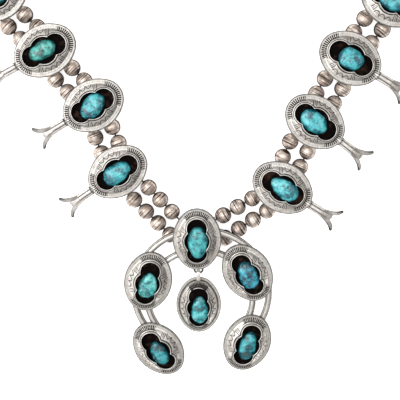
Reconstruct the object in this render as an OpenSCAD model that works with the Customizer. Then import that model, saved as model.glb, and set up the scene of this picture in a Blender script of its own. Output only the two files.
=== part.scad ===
// Squash blossom necklace lying flat, face up. Millimetres, +Z up, the naja towards -Y.

/* [Beads] */
// Outside diameter of a bead
bead_d = 8; // [6:0.05:9]
// Wall of the hollow bead
bead_wall = 0.5; // [0.3:0.1:1]
// Hole through a bead
bead_bore = 1.9; // [1.4:0.1:2.4]
// Space between two beads of a string
bead_gap = 0.14; // [0.1:0.01:0.4]
// Distance between the inner and the outer strand
strand_gap = 9.65; // [9:0.05:11]
// Distance between the strands behind the naja, where they spread
naja_strand_gap = 12; // [10:0.1:13]
// Diameter of the strand that the beads are threaded on
thread_d = 0.9; // [0.6:0.1:1.2]

/* [Conchos] */
// Length of a blossom's oval concho
blossom_l = 30.8; // [29:0.1:34]
// Width of a blossom's oval concho
blossom_w = 23.6; // [22:0.1:25]
// Length of a naja concho
naja_concho_l = 31.2; // [29.4:0.1:32.8]
// Width of a naja concho
naja_concho_w = 23.4; // [22.4:0.1:24.4]
// Length of the drop, with its rim
drop_l = 30.4; // [29:0.1:31.5]
// Width of the drop, with its rim
drop_w = 22.3; // [21:0.1:23]
// Height of a blossom concho's dome above its back
dome_h = 4; // [3.4:0.1:4.8]
// Height of the domes of the naja and the drop above their backs
naja_dome_h = 4.7; // [3.8:0.1:5.4]
// Thickness of the domed sheet
sheet_t = 0.8; // [0.5:0.1:1.1]
// Thickness of the back plate
plate_t = 0.8; // [0.6:0.1:1.2]
// Width of the plain rim round the dome
rim_w = 2.3; // [1.8:0.1:2.8]
// Length of the blossom's window
window_l = 22; // [20:0.1:23.4]
// Width of the blossom's window at its middle lobe
window_w = 12.4; // [11.5:0.1:13.5]
// Width of the window's end lobes
lobe_w = 9.5; // [8.6:0.1:10.4]
// Length of a naja window
naja_window_l = 22.2; // [20.6:0.1:23.2]
// Width of a naja window at its middle lobe
naja_window_w = 12; // [10.8:0.1:12.6]
// Width of the flat flange round the drop's dome
flange_w = 1.5; // [1:0.1:1.8]

/* [Blossoms] */
// Length of the stem outside the rim
stem_l = 6.4; // [5:0.1:9]
// Width of the fluted stem
stem_w = 4; // [3.4:0.1:4.8]
// Radius that a petal curves with
petal_bend_r = 12.8; // [10:0.2:15]
// Angle through which a side petal flares
petal_flare = 60; // [45:1:66]
// Angle that the side petals are turned down round the stem, so that they show their inner faces
petal_roll = 38; // [0:1:46]
// Thickness of a petal
petal_t = 1; // [0.7:0.1:1.4]
// Width of a petal at its widest
petal_w = 4.2; // [3.2:0.1:4.8]

/* [Strand eyes] */
// Outside diameter of an eye
eye_d = 3.4; // [3:0.1:4]
// Length of an eye along the strand
eye_l = 2.6; // [2:0.1:4]
// Distance between the outer faces of a blossom's two eyes on a strand
eye_span = 15.4; // [14.8:0.1:17]
// Distance between the outer faces of the naja's two eyes on a strand
naja_eye_span = 17.2; // [16.4:0.1:17.6]
// Clearance between the beads and the back of a blossom
back_clear = 0.2; // [0.15:0.05:0.6]

/* [Naja] */
// Radius of the outer crescent wire, to its middle
outer_wire_r = 33.3; // [32.5:0.1:34.2]
// Radius of the inner crescent wire, to its middle
inner_wire_r = 26; // [25.2:0.1:26.6]
// Width of a crescent wire
wire_w = 3.3; // [2.8:0.1:3.8]
// Height of a crescent wire
wire_h = 2; // [1.7:0.1:2.4]
// How deep solder sinks one piece into another
solder = 0.3; // [0.2:0.05:0.45]
// Outside diameter of the loop that carries the drop
loop_d = 5.1; // [4.6:0.1:5.6]
// Wire of that loop
loop_wire = 1; // [0.8:0.1:1.2]

/* [Drop] */
// Width of the drop's bail
bail_w = 1.9; // [1.5:0.1:2.4]
// Thickness of the bail's strip
bail_t = 0.7; // [0.5:0.1:0.9]
// Length of the bail, from end to end
bail_l = 6.4; // [6:0.1:7]
// Distance between the drop's edge and the wire in its bail
bail_reach = 2.1; // [1.5:0.1:2.4]
// Clearance round the loop inside the bail
bail_clear = 0.22; // [0.15:0.01:0.3]

/* [Stones] */
// Height of a nugget above the floor of its window
stone_h = 3.6; // [2.8:0.1:4.4]
// Clearance under a nugget
stone_clear = 0.12; // [0.1:0.01:0.3]

/* [Clasp] */
// Length of the clasp along the strands
clasp_l = 12; // [10:0.5:13]
// Thickness of the clasp
clasp_t = 4; // [3.6:0.1:5]
// Margin of the clasp beyond each strand
clasp_edge = 3; // [2.6:0.1:4]

/* [Hidden] */
$fn = 48;

// Middle of the lying necklace, which is moved to the origin
middle_x = -2.9;
middle_y = 70.03;

// Height of the strands above the surface: the beads rest on it
strand_z = bead_d / 2 + 0.02;
back_z = strand_z + bead_d / 2 + back_clear;

// Where each blossom sits: strand x, strand y, strand direction, concho x, concho y, stem direction
left_spots = [
  [-37.1, 13.1, 124, -39.3, 13.6, 215],
  [-52.0, 43.8, 120, -50.3, 45.1, 210.5],
  [-72.5, 69.3, 128, -72.3, 70.5, 208],
  [-93.3, 94.2, 121, -93.6, 96.0, 209.5]
];
right_spots = [
  [37.4, 6.5, 58, 39.4, 6.2, 328],
  [53.2, 37.2, 62, 54.1, 37.6, 323],
  [69.3, 66.1, 60, 69.7, 66.9, 329],
  [87.6, 92.9, 58, 87.9, 93.4, 330]
];

// Route of the beads behind the last blossom, up to the clasp: x, y
left_back = [
  [-102.4, 115.3], [-104.6, 130.5], [-103, 147], [-98, 165.2], [-90, 181.2],
  [-78, 195.2], [-63, 207.2], [-45.5, 215.7], [-26.5, 221.2], [-6.6, 223.2]
];
right_back = [
  [98, 114], [102, 130.3], [102, 147], [97.5, 165.2], [89.8, 181.2],
  [78, 195.2], [63, 207.2], [45.5, 215.7], [26.5, 221.2], [6.6, 223.2]
];

// Place of the naja's top concho, and of the middle between the strands behind it
naja_x = -1.4;
naja_y = -18.5;
naja_strands_y = -16.6;
naja_z = back_z + 0.05;

// Middles of the crescent wires, below the top concho, and the angles that they end at
outer_wire_at = [0.6, naja_y + 4.3 - outer_wire_r];
inner_wire_at = [-0.1, naja_y - 6.2 - inner_wire_r];
wire_start = -48;
wire_sweep = 279;

// Naja conchos, the top one first: x, y, direction of the long axis. The others lie on the
// crescent, each at its own distance out from the outer wire
function on_wire(out, a, turn) =
  [outer_wire_at[0] + (outer_wire_r + out) * cos(a), outer_wire_at[1] + (outer_wire_r + out) * sin(a), turn];
naja_spots = [
  [naja_x, naja_y, 90],
  on_wire(-6.3, 164.9, 77),
  on_wire(3.3, 234, 125),
  on_wire(-7.9, 27.6, 119),
  on_wire(1.3, 311.5, 72)
];

// Nuggets: length and width as shares of the window, shifts along and across as shares of its half
// length and half width, turn in degrees, egg and waist as shares of the width, height share
left_nuggets = [
  [0.67, 0.86, 0.03, 0.04, 0, 0.16, 0.10, 1.00],
  [0.65, 0.80, 0.03, 0.04, 19, -0.06, 0.02, 0.96],
  [0.63, 0.72, 0.08, -0.08, 2, -0.10, 0.06, 1.02],
  [0.64, 0.82, 0.03, 0.00, -6, 0.08, 0.04, 1.00]
];
right_nuggets = [
  [0.69, 0.78, 0.08, -0.01, -4, 0.18, 0.04, 1.02],
  [0.65, 0.87, -0.04, -0.06, -4, -0.06, 0.06, 0.98],
  [0.57, 0.90, 0.05, -0.01, 2, -0.10, 0.12, 1.00],
  [0.62, 0.84, 0.02, 0.00, 8, 0.06, 0.02, 0.98]
];
naja_nuggets = [
  [0.73, 0.86, -0.12, -0.07, 0, 0.08, 0.02, 1.04],
  [0.63, 0.83, -0.16, -0.06, -2, -0.18, 0.08, 1.00],
  [0.61, 0.72, -0.17, 0.13, -10, -0.12, 0.02, 0.96],
  [0.69, 0.84, -0.09, 0.03, -10, -0.08, 0.04, 1.00],
  [0.72, 0.75, -0.09, -0.12, 5, -0.12, 0.04, 0.98]
];
drop_nugget = [0.71, 0.82, -0.21, -0.09, 0, -0.16, 0.08, 0.96];

// A direction on the surface, and the one to its right
function unit(a) = [cos(a), sin(a)];
function right_of(a) = [sin(a), -cos(a)];

// Length of a route up to its point i, and the place at a length along it
function run_to(p, i) = i == 0 ? 0 : run_to(p, i - 1) + norm(p[i] - p[i - 1]);
function run_table(p) = [for (i = [0:len(p) - 1]) run_to(p, i)];
function place_at(p, t, s) = [
  lookup(s, [for (i = [0:len(p) - 1]) [t[i], p[i][0]]]),
  lookup(s, [for (i = [0:len(p) - 1]) [t[i], p[i][1]]])
];

// Route moved sideways by off, at each of its points
function heading(p, i) =
  let (a = p[max(i - 1, 0)], b = p[min(i + 1, len(p) - 1)]) atan2(b[1] - a[1], b[0] - a[0]);
function beside(p, off) = [for (i = [0:len(p) - 1]) p[i] + right_of(heading(p, i)) * off];

// Mouth of a blossom's eyes: along is -1 on the naja's side and 1 on the far side
function mouth(spot, along, off) =
  [spot[0], spot[1]] + unit(spot[2]) * along * eye_span / 2 + right_of(spot[2]) * off;
function naja_mouth(side, off) =
  [naja_x + side * naja_eye_span / 2, naja_strands_y - side * sign(off) * naja_strand_gap / 2];

// The five runs of beads of one strand on one side, from the naja to the clasp
function far_run(spots, back, off) =
  let (p = concat([mouth(spots[3], 1, 0)], back), q = beside(p, off))
  concat([mouth(spots[3], 1, off)], [for (i = [1:len(q) - 1]) q[i]]);
function runs(side, spots, back, off) = concat(
  [[naja_mouth(side, off), mouth(spots[0], -1, off)]],
  [for (i = [0:2]) [mouth(spots[i], 1, off), mouth(spots[i + 1], -1, off)]],
  [far_run(spots, back, off)]
);
function flat(lists) = [for (l = lists) each l];
left_inner = runs(-1, left_spots, left_back, strand_gap / 2);
left_outer = runs(-1, left_spots, left_back, -strand_gap / 2);
right_inner = runs(1, right_spots, right_back, -strand_gap / 2);
right_outer = runs(1, right_spots, right_back, strand_gap / 2);

// Oval of four arcs that meet at 45 degrees: its end arcs have radius r, its side arcs R
function arc_shift(a, b) = round(1000 * (a - b) / (2 - sqrt(2))) / 1000;

// How far the dome rises in from the outline, as a share of the radius of its end arcs
crown_share = 0.88;

// Section of the domed frame: distance in from the outline, height
function dome_section(rim, reach, h) = [
  [0, 0],
  [0, plate_t],
  [0.35, plate_t + 0.45],
  [rim - 0.25, plate_t + 0.6],
  [rim, plate_t + 0.42],
  [rim + 0.35, plate_t + 0.85],
  [rim + 1.7, h * 0.66],
  [rim + 3.4, h * 0.9],
  [reach, h],
  [reach, h - sheet_t],
  [rim + 3.5, h * 0.9 - sheet_t],
  [rim + 1.9, h * 0.66 - sheet_t],
  [rim + 1, plate_t - 0.1],
  [rim + 0.9, 0]
];

// Sweeps a section round an oval outline of half length a and half width b
module oval_sweep(a, b, section) {
  c = arc_shift(a, b);
  for (s = [0, 180]) {
    rotate([0, 0, s]) translate([c, 0, 0]) rotate([0, 0, -45]) rotate_extrude(angle = 90)
      polygon([for (p = section) [a - c - p[0], p[1]]]);
    rotate([0, 0, s]) translate([0, -c, 0]) rotate([0, 0, 45]) rotate_extrude(angle = 90)
      polygon([for (p = section) [b + c - p[0], p[1]]]);
  }
}

// Back plate that closes a concho from behind, its edge inside the frame
module back_plate(a, b) {
  c = arc_shift(a, b);
  linear_extrude(plate_t) {
    intersection() {
      translate([0, c]) circle(b + c);
      translate([0, -c]) circle(b + c);
      square([2 * c, 2 * b], center = true);
    }
    for (s = [-1, 1]) translate([s * c, 0]) circle(a - c);
  }
}

// Three-lobed window, cut down to the back plate
module window(l, w, h) {
  translate([0, 0, plate_t]) linear_extrude(h) {
    circle(w / 2);
    for (s = [-1, 1]) translate([s * (l - lobe_w) / 2, 0]) circle(lobe_w / 2);
  }
}

// Domed oval concho with its back plate, long axis along X
module concho(l, w, wl, ww, rim, h) {
  reach = crown_share * (l / 2 - arc_shift(l / 2, w / 2));
  difference() {
    union() {
      oval_sweep(l / 2, w / 2, dome_section(rim, reach, h));
      back_plate(l / 2 - rim / 2, w / 2 - rim / 2);
    }
    window(wl, ww, h);
  }
}

// Tube that a strand runs through, with its post up to the back plate at height top
module eye(x, y, turn, top) {
  translate([x, y, strand_z]) rotate([0, 0, turn]) difference() {
    union() {
      rotate([0, 90, 0]) cylinder(d = eye_d, h = eye_l, center = true);
      translate([-eye_l / 2, -eye_d / 4, 0]) cube([eye_l, eye_d / 2, top - strand_z]);
    }
    rotate([0, 90, 0]) cylinder(d = bead_bore, h = eye_l + 1, center = true);
  }
}

// Fluted stem along X from the rim, with its hollow mouth
module stem(root) {
  bar = stem_w * 0.34;
  rib = stem_w * 0.19;
  rotate([90, 0, 90]) difference() {
    translate([0, 0, root]) linear_extrude(stem_l + 3) {
      circle(bar);
      for (k = [0:5]) rotate(30 + 60 * k) translate([stem_w / 2 - rib, 0]) circle(rib);
    }
    translate([0, 0, root + stem_l + 1]) cylinder(d = stem_w * 0.4, h = 3);
  }
}

// One petal that curves away from the stem's axis towards +Y
module petal(flare) {
  reach = petal_bend_r * sin(flare);
  start = stem_w * 0.3;
  intersection() {
    translate([-1, petal_bend_r + start, 0]) rotate([0, 0, -90]) rotate_extrude(angle = flare)
      translate([petal_bend_r - petal_t / 2, -petal_w]) square([petal_t, 2 * petal_w]);
    rotate([90, 0, 0]) linear_extrude(4 * petal_bend_r, center = true) {
      polygon([
        [-2, -petal_w * 0.42], [reach * 0.5, -petal_w / 2], [reach - 1.6, -petal_w * 0.3],
        [reach - 1.6, petal_w * 0.3], [reach * 0.5, petal_w / 2], [-2, petal_w * 0.42]
      ]);
      translate([reach - 1.6, 0]) circle(petal_w * 0.3);
    }
  }
}

// Whole blossom: concho, stem and petals on the back plane, and eyes round the two strands
module blossom(spot) {
  stem_root = blossom_l / 2 - 2;
  color("silver") {
    translate([spot[3], spot[4], back_z]) rotate([0, 0, spot[5]]) {
      concho(blossom_l, blossom_w, window_l, window_w, rim_w, dome_h);
      translate([0, 0, solder]) {
        stem(stem_root);
        translate([stem_root + stem_l + 2.6, 0, 0]) {
          for (s = [-petal_roll, 180 + petal_roll]) rotate([s, 0, 0]) petal(petal_flare);
          rotate([-90, 0, 0]) petal(petal_flare * 0.62);
        }
      }
    }
    for (off = [-1, 1], along = [-1, 1]) {
      at = [spot[0], spot[1]] + unit(spot[2]) * along * (eye_span - eye_l) / 2
        + right_of(spot[2]) * off * strand_gap / 2;
      eye(at[0], at[1], spot[2], back_z + solder);
    }
  }
}

// Half-round wire of the crescent
module crescent_wire(at, r) {
  wire_r = wire_w / 2;
  translate([at[0] - naja_x, at[1] - naja_y, 0]) rotate([0, 0, wire_start])
    rotate_extrude(angle = wire_sweep) intersection() {
      translate([r, wire_h - wire_r]) circle(wire_r);
      translate([r - wire_w, 0]) square([2 * wire_w, 2 * wire_h]);
    }
}

// The naja's own frame: its top concho at the origin, tilted down towards -Y until its lowest
// concho rests on the surface
concho_z = wire_h - solder;
rest_gap = 0.1;
function reach_of(s) =
  naja_y - s[1] + norm([naja_concho_l / 2 * sin(s[2]), naja_concho_w / 2 * cos(s[2])]);
naja_reach = max([for (s = naja_spots) reach_of(s)]);
naja_tilt = asin((naja_z - rest_gap) / norm([naja_reach, concho_z])) + atan2(concho_z, naja_reach);
loop_y = -naja_concho_l / 2 - 0.1;
loop_z = concho_z + solder - loop_wire / 2;
loop_x = 0.65;
loop_r = (loop_d - loop_wire) / 2;
module naja_frame() {
  translate([naja_x, naja_y, naja_z]) rotate([naja_tilt, 0, 0]) children();
}

module naja() {
  color("silver") {
    naja_frame() {
      crescent_wire(outer_wire_at, outer_wire_r);
      crescent_wire(inner_wire_at, inner_wire_r);
      for (s = naja_spots) translate([s[0] - naja_x, s[1] - naja_y, concho_z]) rotate([0, 0, s[2]])
        concho(naja_concho_l, naja_concho_w, naja_window_l, naja_window_w, rim_w, naja_dome_h);
      translate([loop_x, loop_y, loop_z]) rotate_extrude()
        translate([loop_r, 0]) circle(d = loop_wire);
    }
    for (side = [-1, 1], off = [-1, 1]) {
      y = naja_strands_y + off * naja_strand_gap / 2;
      top = naja_z + concho_z + (y - naja_y) * tan(naja_tilt) + solder;
      eye(naja_x + side * (naja_eye_span - eye_l) / 2, y, 0, top);
    }
  }
}

// The drop's bail goes round the bottom of the naja's loop, and its lower edge rests on the surface
grip_y = naja_y + (loop_y - loop_r) * cos(naja_tilt) - loop_z * sin(naja_tilt);
grip_z = naja_z + (loop_y - loop_r) * sin(naja_tilt) + loop_z * cos(naja_tilt);
grip_up = drop_l / 2 + bail_reach + loop_wire / 2;
loop_rise = loop_r - sqrt(pow(loop_r, 2) - pow(bail_w / 2, 2));
bail_top = grip_up + loop_wire / 2 + loop_rise + bail_clear + bail_t;
bail_h = loop_wire + 2 * (loop_rise + bail_clear + bail_t) + 0.4;
bail_z = plate_t + loop_wire / 2;
drop_reach = grip_up + drop_l / 2;
drop_tilt = asin((grip_z - rest_gap) / norm([drop_reach, bail_z])) - atan2(bail_z, drop_reach);
module drop_frame() {
  translate([naja_x + loop_x, grip_y, grip_z]) rotate([drop_tilt, 0, 0])
    translate([0, -grip_up, -bail_z]) children();
}

// The drop's dome inside its flange, with a window a little smaller than the naja's
drop_rim = 1;
window_less = [1.2, 0.7];
dome_l = drop_l - 2 * flange_w;
dome_w = drop_w - 2 * flange_w;
drop_window_l = naja_window_l - window_less[0];
drop_window_w = naja_window_w - window_less[1];
module drop() {
  flange_reach = flange_w + drop_rim + 0.5;
  color("silver") drop_frame() {
    rotate([0, 0, 90]) {
      oval_sweep(drop_l / 2, drop_w / 2,
        [[0, 0], [0, plate_t - 0.2], [0.2, plate_t], [flange_reach, plate_t], [flange_reach, 0]]);
      concho(dome_l, dome_w, drop_window_l, drop_window_w, drop_rim, naja_dome_h);
    }
    translate([-bail_w / 2, bail_top - bail_l, bail_z]) rotate([90, 0, 90]) linear_extrude(bail_w)
      difference() {
        bail_outline(bail_l, bail_h, 0);
        bail_outline(bail_l, bail_h, bail_t);
      }
  }
}

// Side view of the bail: a rounded bar of length l and height h, drawn in by inset
module bail_outline(l, h, inset) {
  r = h / 2 - inset;
  translate([h / 2, 0]) circle(r);
  translate([l - h / 2, 0]) circle(r);
  translate([h / 2, -r]) square([l - h, 2 * r]);
}

// Tumbled nugget: an egg-shaped outline that rises to a soft dome, in the window's own axes
function nugget_ring(a, b, row, s, z, n) = [
  for (i = [0:n - 1])
    let (t = 360 * i / n)
    [
      s * a * cos(t),
      s * b * sin(t) * (1 + row[5] * cos(t)) * (1 - row[6] * pow(sin(t), 4)),
      z
    ]
];
module nugget(l, w, row) {
  a = row[0] * l / 2;
  b = row[1] * w / 2;
  h = stone_h * row[7];
  n = 18;
  levels = [[0.9, 0], [1, 0.16], [0.94, 0.5], [0.76, 0.78], [0.42, 0.96]];
  m = len(levels);
  points = concat(
    [for (lv = levels) each nugget_ring(a, b, row, lv[0], lv[1] * h, n)],
    [[0, 0, 0], [0, 0, h]]
  );
  faces = concat(
    [for (k = [0:m - 2], i = [0:n - 1])
      each [[k * n + i, (k + 1) * n + i, (k + 1) * n + (i + 1) % n],
            [k * n + i, (k + 1) * n + (i + 1) % n, k * n + (i + 1) % n]]],
    [for (i = [0:n - 1]) [m * n, i, (i + 1) % n]],
    [for (i = [0:n - 1]) [m * n + 1, (m - 1) * n + (i + 1) % n, (m - 1) * n + i]]
  );
  color("turquoise") translate([row[2] * l / 2, row[3] * w / 2, plate_t + stone_clear])
    rotate([0, 0, row[4]]) polyhedron(points = points, faces = faces, convexity = 4);
}
module blossom_stone(spot, row) {
  translate([spot[3], spot[4], back_z]) rotate([0, 0, spot[5]]) nugget(window_l, window_w, row);
}
module naja_stone(k) {
  s = naja_spots[k];
  naja_frame() translate([s[0] - naja_x, s[1] - naja_y, concho_z]) rotate([0, 0, s[2]])
    nugget(naja_window_l, naja_window_w, naja_nuggets[k]);
}
module drop_stone() {
  drop_frame() rotate([0, 0, 90])
    nugget(drop_window_l, drop_window_w, drop_nugget);
}

// Hollow bead with its hole along X, turned from the section of its wall
module bead() {
  rotate([0, 90, 0]) rotate_extrude() difference() {
    intersection() {
      circle(d = bead_d);
      translate([bead_bore / 2, -bead_d]) square([bead_d, 2 * bead_d]);
    }
    circle(d = bead_d - 2 * bead_wall);
  }
}

// Beads of one run, as many as fit, packed together at its middle
module bead_run(p) {
  t = run_table(p);
  total = t[len(t) - 1];
  pitch = bead_d + bead_gap;
  count = floor((total - bead_gap) / pitch);
  first = (total - (count - 1) * pitch) / 2;
  if (count > 0) for (i = [0:count - 1]) {
    a = place_at(p, t, first + i * pitch - bead_d / 2);
    b = place_at(p, t, first + i * pitch + bead_d / 2);
    translate([(a[0] + b[0]) / 2, (a[1] + b[1]) / 2, strand_z])
      rotate([0, 0, atan2(b[1] - a[1], b[0] - a[0])]) bead();
  }
}
module beads(all_runs) {
  color("rosybrown") for (p = all_runs) bead_run(p);
}

// Strand as an eight-sided tube along its whole loop, from one side of the clasp to the other
function thread_ring(p, i, n) =
  let (a = heading(p, i), side = right_of(a))
  [for (k = [0:n - 1]) let (t = 360 * k / n)
    [p[i][0] + side[0] * thread_d / 2 * cos(t), p[i][1] + side[1] * thread_d / 2 * cos(t),
     strand_z + thread_d / 2 * sin(t)]];
module thread(p) {
  n = 8;
  last = len(p) - 1;
  points = concat(
    [for (i = [0:last]) each thread_ring(p, i, n)],
    [[p[0][0], p[0][1], strand_z], [p[last][0], p[last][1], strand_z]]
  );
  faces = concat(
    [for (i = [0:last - 1], k = [0:n - 1])
      each [[i * n + k, (i + 1) * n + (k + 1) % n, (i + 1) * n + k],
            [i * n + k, i * n + (k + 1) % n, (i + 1) * n + (k + 1) % n]]],
    [for (k = [0:n - 1]) [(last + 1) * n, (k + 1) % n, k]],
    [for (k = [0:n - 1]) [(last + 1) * n + 1, last * n + k, last * n + (k + 1) % n]]
  );
  color("dimgray") polyhedron(points = points, faces = faces, convexity = 10);
}
function backwards(p) = [for (i = [len(p) - 1:-1:0]) p[i]];
// Each strand's end reaches into the clasp
function with_end(p) =
  let (l = len(p) - 1, d = (p[l] - p[l - 1]) / norm(p[l] - p[l - 1])) concat(p, [p[l] + d * 3]);
function loop_of(left, right) = concat(backwards(with_end(flat(left))), with_end(flat(right)));

// Plain clasp across both strands, with four holes that the strand ends sit in
module clasp() {
  w = strand_gap + 2 * clasp_edge;
  corner = 2;
  clasp_hole = clasp_l / 3;
  y = left_back[len(left_back) - 1][1];
  color("silver") translate([0, y, 0]) difference() {
    translate([0, 0, strand_z - clasp_t / 2]) linear_extrude(clasp_t) {
      square([clasp_l, w - 2 * corner], center = true);
      square([clasp_l - 2 * corner, w], center = true);
      for (i = [-1, 1], j = [-1, 1])
        translate([i * (clasp_l / 2 - corner), j * (w / 2 - corner)]) circle(corner);
    }
    for (i = [-1, 1], off = [-1, 1]) translate([i * clasp_l / 2, off * strand_gap / 2, strand_z])
      rotate([0, 90, 0]) cylinder(d = bead_bore, h = 2 * clasp_hole, center = true);
  }
}

// Moves every piece so that the necklace's middle is at the origin
module in_place() {
  translate([-middle_x, -middle_y, 0]) children();
}

in_place() naja();
in_place() drop();
in_place() clasp();
for (i = [1:4]) {
  in_place() blossom(left_spots[i - 1]);
  in_place() blossom(right_spots[i - 1]);
  in_place() blossom_stone(left_spots[i - 1], left_nuggets[i - 1]);
  in_place() blossom_stone(right_spots[i - 1], right_nuggets[i - 1]);
}
in_place() naja_stone(0);  // naja_stone_top
in_place() naja_stone(1);  // naja_stone_left_upper
in_place() naja_stone(2);  // naja_stone_left_lower
in_place() naja_stone(3);  // naja_stone_right_upper
in_place() naja_stone(4);  // naja_stone_right_lower
in_place() drop_stone();
in_place() beads(left_inner);  // beads_inner_left
in_place() beads(left_outer);  // beads_outer_left
in_place() beads(right_inner);  // beads_inner_right
in_place() beads(right_outer);  // beads_outer_right
in_place() thread(loop_of(left_inner, right_inner));  // inner_thread
in_place() thread(loop_of(left_outer, right_outer));  // outer_thread
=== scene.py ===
"""Squash blossom necklace: detailed surfaces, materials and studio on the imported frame."""

import bpy
import numpy as np
from mathutils import Matrix, Vector


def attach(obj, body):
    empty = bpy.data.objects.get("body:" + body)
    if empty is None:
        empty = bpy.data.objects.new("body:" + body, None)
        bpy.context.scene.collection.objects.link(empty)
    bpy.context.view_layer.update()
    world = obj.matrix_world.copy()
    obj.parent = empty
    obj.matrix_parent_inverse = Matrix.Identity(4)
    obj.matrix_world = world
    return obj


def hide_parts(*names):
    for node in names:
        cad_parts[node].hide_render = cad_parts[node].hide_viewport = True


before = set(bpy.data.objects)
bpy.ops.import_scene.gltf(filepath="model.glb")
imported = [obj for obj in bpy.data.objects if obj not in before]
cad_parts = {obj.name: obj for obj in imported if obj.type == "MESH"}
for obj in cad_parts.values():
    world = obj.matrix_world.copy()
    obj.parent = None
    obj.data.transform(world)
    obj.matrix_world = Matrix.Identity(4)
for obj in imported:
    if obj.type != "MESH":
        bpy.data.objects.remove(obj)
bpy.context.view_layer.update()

bl_info = {
    "name": "Squash Blossom Necklace",
    "version": (1, 0, 0),
    "blender": (4, 5, 0),
    "location": "3D View > Sidebar > Necklace",
    "description": "Builds the detailed surfaces of a silver and turquoise necklace",
    "category": "Object",
}

MM = 0.001
TAU = 2 * np.pi
UP = (0.0, 0.0, 1.0)

# Sizes of the solids, in millimetres and degrees, as in the part's source
BEAD_D, BEAD_BORE, BEAD_GAP, STRAND_GAP, NAJA_STRAND_GAP = 8.0, 1.9, 0.14, 9.65, 12.0
BLOSSOM_L, BLOSSOM_W, NAJA_L, NAJA_W = 30.8, 23.6, 31.2, 23.4
DROP_L, DROP_W, FLANGE_W = 30.4, 22.3, 1.5
DOME_H, NAJA_DOME_H, SHEET_T, PLATE_T, RIM_W, CROWN_SHARE = 4.0, 4.7, 0.8, 0.8, 2.3, 0.88
WINDOW_L, WINDOW_W, LOBE_W = 22.0, 12.4, 9.5
NAJA_WINDOW_L, NAJA_WINDOW_W, DROP_RIM = 22.2, 12.0, 1.0
DROP_WINDOW_L, DROP_WINDOW_W = NAJA_WINDOW_L - 1.2, NAJA_WINDOW_W - 0.7
STEM_L, STEM_W = 6.4, 4.0
PETAL_BEND_R, PETAL_FLARE, PETAL_ROLL, PETAL_T, PETAL_W = 12.8, 60.0, 38.0, 1.0, 4.2
EYE_D, EYE_L, EYE_SPAN, NAJA_EYE_SPAN, BACK_CLEAR = 3.4, 2.6, 15.4, 17.2, 0.2
OUTER_WIRE_R, INNER_WIRE_R, WIRE_W, WIRE_H, SOLDER = 33.3, 26.0, 3.3, 2.0, 0.3
LOOP_D, LOOP_WIRE, LOOP_X = 5.1, 1.0, 0.65
BAIL_W, BAIL_T, BAIL_L, BAIL_REACH, BAIL_CLEAR = 1.9, 0.7, 6.4, 2.1, 0.22
STONE_H, STONE_CLEAR, REST_GAP = 3.6, 0.12, 0.1
MIDDLE = np.array([-2.9, 70.03, 0.0])
STRAND_Z = BEAD_D / 2 + 0.02
BACK_Z = STRAND_Z + BEAD_D / 2 + BACK_CLEAR
NAJA_X, NAJA_Y, NAJA_STRANDS_Y, NAJA_Z = -1.4, -18.5, -16.6, BACK_Z + 0.05
CONCHO_Z = WIRE_H - SOLDER
OUTER_WIRE_AT, INNER_WIRE_AT = (0.6, NAJA_Y + 4.3 - OUTER_WIRE_R), (-0.1, NAJA_Y - 6.2 - INNER_WIRE_R)
WIRE_START, WIRE_SWEEP = -48.0, 279.0

# Stamping: depth of the strokes, width and length of the ticks, ticks in half a fan, radius and
# spacing of the half moons, and pitches of the border and the hatching
STAMP_DEPTH, TICK_W, TICK_L, FAN_TICKS = 0.15, 0.54, 2.3, 7.5
MOON_R, MOON_PITCH, BORDER_PITCH, HATCH_PITCH = 1.55, 3.5, 0.85, 0.95
# Height of the window's lip, dish of a petal, depth of a bead's seam and of a wire's grooves
LIP_H, PETAL_DISH, SEAM_DEPTH, GROOVE_DEPTH = 0.28, 0.22, 0.07, 0.13

# The dressed stem is wider than its solid by this factor, because the photograph's stems measure wider
STEM_DRESSED = 1.15

# The photograph: the side of its square on the plane of the conchos' backs, and the camera's place
# over that plane, from the square's middle
PICTURE_SIDE, EYE = 192.0, (6.3, 63.5, 374.6)

# Blossoms: strand x, strand y, strand direction, concho x, concho y, stem direction
SPOTS = {
    "left": [(-37.1, 13.1, 124, -39.3, 13.6, 215), (-52.0, 43.8, 120, -50.3, 45.1, 210.5),
             (-72.5, 69.3, 128, -72.3, 70.5, 208), (-93.3, 94.2, 121, -93.6, 96.0, 209.5)],
    "right": [(37.4, 6.5, 58, 39.4, 6.2, 328), (53.2, 37.2, 62, 54.1, 37.6, 323),
              (69.3, 66.1, 60, 69.7, 66.9, 329), (87.6, 92.9, 58, 87.9, 93.4, 330)],
}
# Route of the beads behind the last blossom, up to the clasp
BACKS = {
    "left": [(-102.4, 115.3), (-104.6, 130.5), (-103, 147), (-98, 165.2), (-90, 181.2), (-78, 195.2),
             (-63, 207.2), (-45.5, 215.7), (-26.5, 221.2), (-6.6, 223.2)],
    "right": [(98, 114), (102, 130.3), (102, 147), (97.5, 165.2), (89.8, 181.2), (78, 195.2),
              (63, 207.2), (45.5, 215.7), (26.5, 221.2), (6.6, 223.2)],
}


def on_circle(angles):
    """Points of the unit circle."""
    return np.stack([np.cos(angles), np.sin(angles)], -1)


def unit(degrees):
    """Directions in the plan at angles in degrees."""
    return on_circle(np.radians(degrees))


def right_of(degrees):
    """Direction to the right of a direction."""
    c, s = unit(degrees)
    return np.array([s, -c])


def on_wire(out, degrees, turn):
    """Place on the crescent at a distance out from its outer wire, and a concho's direction there."""
    x, y = OUTER_WIRE_AT + (OUTER_WIRE_R + out) * unit(degrees)
    return x, y, turn


# Naja conchos by node ending: x, y, direction of the long axis
NAJA_SPOTS = {"top": (NAJA_X, NAJA_Y, 90), "left_upper": on_wire(-6.3, 164.9, 77),
              "left_lower": on_wire(3.3, 234, 125), "right_upper": on_wire(-7.9, 27.6, 119),
              "right_lower": on_wire(1.3, 311.5, 72)}
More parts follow.
